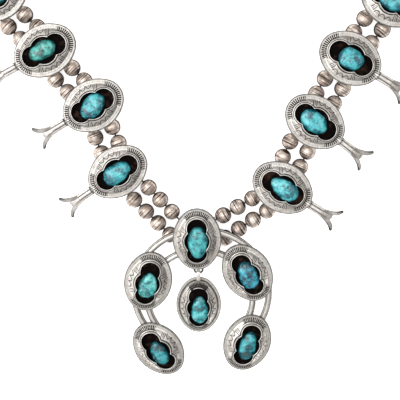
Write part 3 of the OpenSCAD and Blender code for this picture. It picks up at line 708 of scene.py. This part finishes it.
def bead_rows(rng):
    """Hollow bead with its hole along X: soldered halves with a seam, a stronger or fainter band on
    each side of it, dark streaks, a flattened collar with painted shade where beads touch, and a hole
    darkened with painted shade. Returns rows and darkness."""
    r, hole, n, streak_count = BEAD_D / 2 * rng.uniform(0.988, 1.0), BEAD_BORE / 2, 20, 6
    a0 = np.arcsin(hole / r)
    spread = rng.uniform(0.6, 1.0)
    band = rng.choice([0.25, 0.6, 1.0], p=[0.3, 0.3, 0.4])
    streaks = rng.uniform(-0.82, 0.82, streak_count) * r
    fine = np.array([-0.32, -0.14, 0.14, 0.32])
    x = np.concatenate([-r * np.cos(np.linspace(a0, np.pi - a0, 19))[1:-1], fine, fine + spread,
                        fine - spread, streaks, streaks + 0.24, streaks - 0.24])
    low = r * np.cos(a0)
    x = np.concatenate([[-low], np.sort(np.clip(x, 0.01 - low, low - 0.01)), [low]])
    rad = np.sqrt(r ** 2 - x ** 2)
    seam = line_mask(x, 0.18, 0.12) * 0.8
    bands = band * line_mask(np.abs(x) - spread, 0.44, 0.18)
    strengths = rng.uniform(0.5, 1.0, streak_count)
    streak_darkness = np.max([line_mask(x - s, 0.42, 0.24) * d for s, d in zip(streaks, strengths)], axis=0)
    # Painted shade on the collar at each end, where neighbouring beads touch
    collar = smooth_step(np.abs(x) / r - 0.72, 0.16)
    rad = rad - SEAM_DEPTH * seam - SEAM_DEPTH * bands
    x = x * (1 - 0.012 * collar)
    shade = np.clip(np.maximum(0.75 * seam * (0.4 + 0.6 * band), 0.95 * bands) + 0.95 * collar, 0, 1)
    shade = np.maximum(shade, streak_darkness)
    x = np.concatenate([x, x[-1] - [0.35, 1.2], x[0] + [1.2, 0.35]])
    rad = np.concatenate([rad, [hole] * 4])
    # Painted shade inside the hole
    shade = np.concatenate([shade, [1] * 4])
    t = even_angles(n)
    dent = 1 - 0.004 * (1 + np.sin(t * 2 + rng.uniform(0, TAU)) + np.sin(t * 3 + rng.uniform(0, TAU)))
    rows = turned_rows(x, rad[:, None], t)
    rows[..., 1:] *= dent[:, None]
    patchy = 0.8 + 0.4 * np.sin(2 * t + x[:, None] + rng.uniform(0, TAU))
    return rows, np.clip(shade[:, None] * patchy, 0, 1)


def route_place(points, s):
    """Place at a length along a route of straight runs."""
    steps = np.linalg.norm(np.diff(points, axis=0), axis=1)
    t = np.concatenate([[0], np.cumsum(steps)])
    return np.array([np.interp(s, t, points[:, 0]), np.interp(s, t, points[:, 1])])


def route_length(points):
    """Length of a route."""
    return np.linalg.norm(np.diff(points, axis=0), axis=1).sum()


def beside(points, off):
    """Route moved sideways, to the right if off is above 0."""
    points = np.asarray(points, float)
    ahead = np.concatenate([points[1:], points[-1:]])
    behind = np.concatenate([points[:1], points[:-1]])
    step = ahead - behind
    step /= np.linalg.norm(step, axis=1)[:, None]
    return points + np.stack([step[:, 1], -step[:, 0]], 1) * off


def strand_runs(side, spots, back, off):
    """The five runs of beads of one strand on one side, from the naja to the clasp."""
    def mouth(spot, along):
        return np.array(spot[:2]) + unit(spot[2]) * along * EYE_SPAN / 2 + right_of(spot[2]) * off

    naja_y = NAJA_STRANDS_Y - side * np.sign(off) * NAJA_STRAND_GAP / 2
    runs = [np.array([(NAJA_X + side * NAJA_EYE_SPAN / 2, naja_y), mouth(spots[0], -1)])]
    runs += [np.array([mouth(spots[i], 1), mouth(spots[i + 1], -1)]) for i in range(3)]
    last = np.array(spots[3][:2]) + unit(spots[3][2]) * EYE_SPAN / 2
    far = beside(np.concatenate([[last], back]), off)
    runs.append(np.concatenate([[mouth(spots[3], 1)], far[1:]]))
    return runs


def beads_parts(side, off, seed):
    """String of beads, each turned and marked by its own seeded numbers, with painted shade on the
    lower side of each bead.
    """
    rng = np.random.default_rng(seed)
    name = "left" if side < 0 else "right"
    parts = []
    pitch = BEAD_D + BEAD_GAP
    for run in strand_runs(side, SPOTS[name], BACKS[name], off):
        total = route_length(run)
        count = int(np.floor((total - BEAD_GAP) / pitch))
        first = (total - (count - 1) * pitch) / 2
        for i in range(count):
            s = first + i * pitch
            a, b = route_place(run, s - BEAD_D / 2), route_place(run, s + BEAD_D / 2)
            rows, dark = bead_rows(rng)
            rows = turn_x(rows, rng.uniform(0, 360))
            rows = turn_z(rows, np.degrees(np.arctan2(b[1] - a[1], b[0] - a[0])))
            rows = rows + [(a[0] + b[0]) / 2, (a[1] + b[1]) / 2, STRAND_Z]
            # Painted shade: darker on the lower side of each bead
            low = smooth_step(0.62 - (rows[..., 2] - STRAND_Z) / (BEAD_D / 2), 0.5)
            parts.append(closed_part(rows, np.maximum(dark, low), wrap_rows=True))
    return parts


# Materials

def srgb(text):
    """Linear colour of an sRGB hex string."""
    v = np.array([int(text[i:i + 2], 16) for i in (1, 3, 5)]) / 255
    lin = np.where(v <= 0.04045, v / 12.92, ((v + 0.055) / 1.055) ** 2.4)
    return (*lin, 1.0)


class Graph:
    """Nodes of a material or a world, added one at a time with their settings and links."""

    def __init__(self, owner, end="Principled BSDF"):
        owner.use_nodes = True
        self.owner = owner
        self.tree = owner.node_tree
        self.end = self.tree.nodes[end]
        self.places = self.add("ShaderNodeTexCoord").outputs

    def add(self, kind, inputs=None, **settings):
        """One node: plain values are set on its sockets and sockets are linked to them."""
        node = self.tree.nodes.new(kind)
        for key, value in settings.items():
            setattr(node, key, value)
        self.put(node, inputs or {})
        return node

    def put(self, node, inputs):
        """Sets or links a node's input sockets."""
        for key, value in inputs.items():
            if isinstance(value, bpy.types.NodeSocket):
                self.tree.links.new(value, node.inputs[key])
            else:
                node.inputs[key].default_value = value

    def math(self, operation, *values, clamp=False):
        """Value of one math node."""
        inputs = dict(enumerate(values))
        return self.add("ShaderNodeMath", inputs, operation=operation, use_clamp=clamp).outputs[0]

    def vector(self, operation, a, b):
        """Vector of one vector math node."""
        return self.add("ShaderNodeVectorMath", {0: a, 1: b}, operation=operation).outputs[0]

    def noise(self, coords, size, detail, rough=0.55):
        """Value of a noise texture with grains of a size in millimetres."""
        return self.add("ShaderNodeTexNoise", {"Vector": coords, "Scale": 1 / (size * MM),
                                               "Detail": detail, "Roughness": rough}).outputs[0]

    def ramp(self, value, stops):
        """Colour ramp with stops of place and colour."""
        node = self.add("ShaderNodeValToRGB", {"Fac": value})
        band = node.color_ramp
        while len(band.elements) < len(stops):
            band.elements.new(0.5)
        for element, (place, colour) in zip(band.elements, stops):
            element.position = place
            element.color = srgb(colour) if isinstance(colour, str) else (colour,) * 3 + (1.0,)
        return node.outputs["Color"]

    def fade(self, value, low, high):
        """0 up to a low value, rising to 1 at a high one."""
        return self.ramp(value, [(low, 0.0), (high, 1.0)])

    def mix(self, factor, a, b):
        """Mixed colour."""
        node = self.add("ShaderNodeMix", data_type="RGBA", blend_type="MIX")
        self.put(node, {0: factor, 6: a, 7: b})
        return node.outputs[2]

    def bump(self, height, strength, distance):
        """Normal of a bumpy surface."""
        inputs = {"Height": height, "Strength": strength, "Distance": distance * MM}
        return self.add("ShaderNodeBump", inputs).outputs[0]

    def dark(self):
        """The meshes' dark attribute: oxide in stamped strokes, and painted shade."""
        return self.add("ShaderNodeAttribute", attribute_name="dark").outputs["Fac"]


def silver(name, bright, shade, tarnish, rough, grain, oxide_and_shade_colour):
    """Worn silver: bright on what is rubbed, darkened where the dark attribute says, which holds oxide in
    the stamped strokes and painted shade on rims, sides, undersides and contacts, with soft tarnish
    clouds, fine handling marks and a slightly uneven hammered surface."""
    g = Graph(bpy.data.materials.new(name))
    coords = g.places["Object"]
    clouds = g.noise(coords, 7, 3.0)
    spots = g.noise(coords, 1.3, 5.0, 0.65)
    fine = g.noise(coords, 0.35, 3.0, 0.6)
    darkening = g.math("MULTIPLY", g.dark(), g.math("MULTIPLY_ADD", spots, 0.7, 0.62), clamp=True)
    tone = g.ramp(clouds, [(0.35, bright), (0.7, tarnish)])
    tone = g.mix(g.math("MULTIPLY", g.fade(spots, 0.42, 0.7), grain), tone, srgb(shade))
    # Oxide and painted shade from the dark attribute, mixed over the tone
    colour = g.mix(g.fade(darkening, 0.1, 0.72), tone, srgb(oxide_and_shade_colour))
    metal = g.math("SUBTRACT", 1.0, g.math("MULTIPLY", darkening, 0.55))
    smooth = g.math("MULTIPLY_ADD", fine, 0.16, rough)
    roughness = g.math("ADD", smooth, g.math("MULTIPLY", darkening, 0.3), clamp=True)
    height = g.math("ADD", g.math("MULTIPLY", spots, 0.05), g.math("MULTIPLY", fine, 0.014))
    g.put(g.end, {"Base Color": colour, "Metallic": metal, "Roughness": roughness,
                  "Normal": g.bump(height, 0.55, 1.0)})
    return g.owner


def recess(name):
    """Oxidised floor and walls of a window: near black with brown, rough texture."""
    g = Graph(bpy.data.materials.new(name))
    grain = g.noise(g.places["Object"], 0.6, 5.0, 0.7)
    patches = g.noise(g.places["Object"], 3.5, 2.0)
    brown = g.ramp(grain, [(0.4, "#1A0E0A"), (0.6, "#4A332A"), (0.75, "#7A5F52")])
    colour = g.mix(g.fade(patches, 0.54, 0.74), srgb("#080403"), brown)
    g.put(g.end, {"Base Color": colour, "Metallic": 0.0, "Roughness": 0.75, "Specular IOR Level": 0.06,
                  "Normal": g.bump(grain, 0.7, 0.3)})
    return g.owner


def turquoise(name, body, deep, light, seed):
    """Polished turquoise: blue body clouded with deeper blue and green, a net of brown matrix in
    cracks and patches, pale flecks, and a waxy polish that the matrix breaks."""
    g = Graph(bpy.data.materials.new(name))
    shift = {"Vector": g.places["Object"], "Location": (seed * 0.013, seed * 0.007, seed * 0.003)}
    coords = g.add("ShaderNodeMapping", shift).outputs[0]
    warp = g.add("ShaderNodeTexNoise", {"Vector": coords, "Scale": 1 / (1.6 * MM), "Detail": 5.0})
    bend = g.vector("SUBTRACT", warp.outputs["Color"], (0.5, 0.5, 0.5))
    warped = g.vector("ADD", coords, g.vector("MULTIPLY", bend, (1.5 * MM,) * 3))
    clouds = g.noise(warped, 4.2, 5.0, 0.62)
    mottle = g.noise(coords, 0.9, 5.0, 0.65)
    cracks = {"Vector": warped, "Scale": 1 / (3.4 * MM)}
    cells = g.add("ShaderNodeTexVoronoi", cracks, feature="DISTANCE_TO_EDGE").outputs["Distance"]
    vein = g.ramp(cells, [(0.0, 1.0), (0.06, 0.6), (0.16, 0.0)])
    patch = g.fade(g.noise(coords, 2.6, 3.0, 0.6), 0.50, 0.64)
    base = g.ramp(clouds, [(0.42, deep), (0.50, body), (0.60, light)])
    base = g.mix(g.math("MULTIPLY", g.fade(mottle, 0.52, 0.72), 0.4), base, srgb("#86E2E4"))
    web = g.math("MULTIPLY", g.math("MULTIPLY", vein, patch), 0.9, clamp=True)
    blotch = g.math("MULTIPLY", g.fade(g.noise(warped, 2.6, 5.0, 0.7), 0.58, 0.70), 0.5)
    matrix = g.math("MAXIMUM", web, blotch)
    colour = g.mix(matrix, base, g.ramp(mottle, [(0.35, "#2E2C2C"), (0.65, "#5C5654")]))
    # Painted shade towards the nugget's foot, from the dark attribute
    colour = g.mix(g.math("MULTIPLY", g.dark(), 0.8), colour, srgb("#0A3B47"))
    height = g.math("SUBTRACT", g.math("MULTIPLY", mottle, 0.12), g.math("MULTIPLY", matrix, 0.3))
    rough = g.math("MULTIPLY_ADD", matrix, 0.35, 0.24)
    g.put(g.end, {"Base Color": colour, "Roughness": rough, "Normal": g.bump(height, 0.8, 0.4),
                  "Coat Weight": 0.5, "Coat Roughness": 0.08})
    return g.owner


def strand_material():
    """Braided strand of dark thread."""
    g = Graph(bpy.data.materials.new("braided_strand"))
    braid = {"Vector": g.places["Object"], "Scale": 1 / (1.6 * MM), "Distortion": 1.5}
    wave = g.add("ShaderNodeTexWave", braid, bands_direction="DIAGONAL").outputs["Fac"]
    colour = g.ramp(wave, [(0.2, "#2E2824"), (0.8, "#5A5049")])
    g.put(g.end, {"Base Color": colour, "Roughness": 0.75, "Normal": g.bump(wave, 0.6, 0.1)})
    return g.owner


def floor_material():
    """Seamless white paper, with some light of its own."""
    g = Graph(bpy.data.materials.new("white_paper"))
    tone = g.ramp(g.noise(g.places["Object"], 30, 2.0), [(0.3, "#FDFDFD"), (0.7, "#FFFFFF")])
    g.put(g.end, {"Base Color": tone, "Roughness": 0.9, "Specular IOR Level": 0.1,
                  "Emission Color": srgb("#FFFFFF"), "Emission Strength": 0.75})
    return g.owner


def studio_world():
    """Light tent: brightest overhead towards the left, and dark towards the horizon."""
    g = Graph(bpy.data.worlds.new("studio"), "Background")
    brightest = {0: g.places["Generated"], 1: (-0.3, 0.02, 0.88)}
    lean = g.add("ShaderNodeVectorMath", brightest, operation="DOT_PRODUCT").outputs["Value"]
    stops = [(0.0, "#1E1C1A"), (0.25, "#4A4744"), (0.55, "#ADAAA7"), (0.85, "#DAD9D7")]
    g.put(g.end, {"Color": g.ramp(lean, stops), "Strength": 1.75})
    return g.owner


def materials():
    """The scene's materials by name, made once."""
    have = bpy.data.materials
    if "stamped_silver" not in have:
        # Neutral light grey silver of the conchos
        silver("stamped_silver", "#F4F1ED", "#A9A19A", "#DFDAD4", 0.3, 0.35, "#1B1512")
        # Warmer, duller silver of the beads
        silver("warm_bead_silver", "#EEE3DB", "#A08A7C", "#DCCBBE", 0.38, 0.8, "#35261E")
        recess("window_recess")
        strand_material()
    return have


def concho_piece(node, parts):
    """Silver piece with dark windows."""
    have = materials()
    piece = make_object(node, parts, have["stamped_silver"], have["window_recess"])


# Add-on

class NecklaceSettings(bpy.types.PropertyGroup):
    """Settings of the studio."""
    key_power: bpy.props.FloatProperty(name="Key light", description="Power of the large soft light",
                                       default=3.0, min=0.0, unit="POWER")
    floor_size: bpy.props.FloatProperty(name="Floor", description="Side of the white floor",
                                        default=6.0, min=1.0, unit="LENGTH")


class NECKLACE_OT_blossoms(bpy.types.Operator):
    """Builds the eight blossoms"""
    bl_idname = "necklace.blossoms"
    bl_label = "Blossoms"

    def execute(self, context):
        for side, spots in SPOTS.items():
            for i, spot in enumerate(spots, 1):
                concho_piece(f"blossom_{side}_{i}", blossom_parts(spot))
        return {"FINISHED"}


class NECKLACE_OT_naja(bpy.types.Operator):
    """Builds the naja and its drop"""
    bl_idname = "necklace.naja"
    bl_label = "Naja and drop"

    def execute(self, context):
        concho_piece("naja", naja_parts())
        concho_piece("drop", drop_parts())
        return {"FINISHED"}


class NECKLACE_OT_beads(bpy.types.Operator):
    """Builds the four strings of beads"""
    bl_idname = "necklace.beads"
    bl_label = "Beads"

    def execute(self, context):
        silver_of_beads = materials()["warm_bead_silver"]
        strings = [("beads_inner_left", -1, STRAND_GAP / 2), ("beads_outer_left", -1, -STRAND_GAP / 2),
                   ("beads_inner_right", 1, -STRAND_GAP / 2), ("beads_outer_right", 1, STRAND_GAP / 2)]
        for seed, (node, side, off) in enumerate(strings, 11):
            piece = make_object(node, beads_parts(side, off, seed), silver_of_beads)
        return {"FINISHED"}


class NECKLACE_OT_stones(bpy.types.Operator):
    """Builds the fourteen turquoise nuggets"""
    bl_idname = "necklace.stones"
    bl_label = "Stones"

    def execute(self, context):
        for seed, name in enumerate(NUGGETS, 1):
            stone = turquoise("turquoise_" + name, *BLUES.get(name, OTHER_BLUES), seed)
            piece = make_object(name, [stone_part(name)], stone)
        return {"FINISHED"}


class NECKLACE_OT_plain(bpy.types.Operator):
    """Gives the clasp and the strands their materials"""
    bl_idname = "necklace.plain"
    bl_label = "Clasp and strands"

    def execute(self, context):
        have = materials()
        for node, material in (("clasp", "stamped_silver"), ("inner_thread", "braided_strand"),
                               ("outer_thread", "braided_strand")):
            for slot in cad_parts[node].material_slots:
                slot.material = have[material]
        return {"FINISHED"}


class NECKLACE_OT_stage(bpy.types.Operator):
    """Makes the white floor, the soft lights and the camera"""
    bl_idname = "necklace.stage"
    bl_label = "Stage"

    def execute(self, context):
        settings = context.scene.necklace
        half = settings.floor_size / 2
        mesh = bpy.data.meshes.new("floor")
        corners = [(-half, -half, 0), (half, -half, 0), (half, half, 0), (-half, half, 0)]
        mesh.from_pydata(corners, [], [(0, 1, 2, 3)])
        mesh.materials.append(floor_material())
        floor = new_object("floor", mesh)
        view_at = Vector((-MIDDLE[0] * MM, -MIDDLE[1] * MM, BACK_Z * MM))
        context.scene.world = studio_world()
        context.scene.view_settings.view_transform = "Standard"
        # Each light's place from the middle of the view, size and share of the key's power
        lights = {"key": ((-0.4, 0.1, 0.65), 0.7, 1.0), "fill": ((0.5, 0.3, 0.8), 0.8, 0.5)}
        for name, (place, size, share) in lights.items():
            light = bpy.data.lights.new(name, "AREA")
            light.shape, light.size, light.energy = "DISK", size, settings.key_power * share
            lamp = new_object(name, light)
            lamp.location = view_at + Vector(place)
            lamp.rotation_euler = (view_at - lamp.location).to_track_quat("-Z", "Y").to_euler()
        lens = bpy.data.cameras.new("camera")
        eye = Vector(EYE)
        lens.sensor_width = 36.0
        lens.lens = lens.sensor_width * eye.length / PICTURE_SIDE
        camera = new_object("camera", lens)
        right = Vector((0, 1, 0)).cross(eye).normalized()
        upward = eye.normalized().cross(right)
        camera.matrix_world = Matrix((right, upward, eye.normalized())).transposed().to_4x4()
        camera.location = view_at + eye * MM
        context.scene.camera = camera
        return {"FINISHED"}


class NECKLACE_PT_panel(bpy.types.Panel):
    """Buttons for the necklace"""
    bl_label = "Necklace"
    bl_space_type = "VIEW_3D"
    bl_region_type = "UI"
    bl_category = "Necklace"

    def draw(self, context):
        settings = context.scene.necklace
        self.layout.prop(settings, "key_power")
        self.layout.prop(settings, "floor_size")
        for operator in OPERATORS:
            self.layout.operator(operator.bl_idname)


OPERATORS = [NECKLACE_OT_blossoms, NECKLACE_OT_naja, NECKLACE_OT_beads, NECKLACE_OT_stones,
             NECKLACE_OT_plain, NECKLACE_OT_stage]
CLASSES = [NecklaceSettings] + OPERATORS + [NECKLACE_PT_panel]


def register():
    """Registers the classes and the scene's settings."""
    for cls in CLASSES:
        bpy.utils.register_class(cls)
    bpy.types.Scene.necklace = bpy.props.PointerProperty(type=NecklaceSettings)


def unregister():
    """Removes them again."""
    del bpy.types.Scene.necklace
    for cls in reversed(CLASSES):
        bpy.utils.unregister_class(cls)


def main():
    """Builds everything."""
    register()
    bpy.ops.necklace.stage()
    bpy.ops.necklace.blossoms()
    bpy.ops.necklace.naja()
    bpy.ops.necklace.beads()
    bpy.ops.necklace.stones()
    bpy.ops.necklace.plain()


if __name__ == "__main__":
    main()
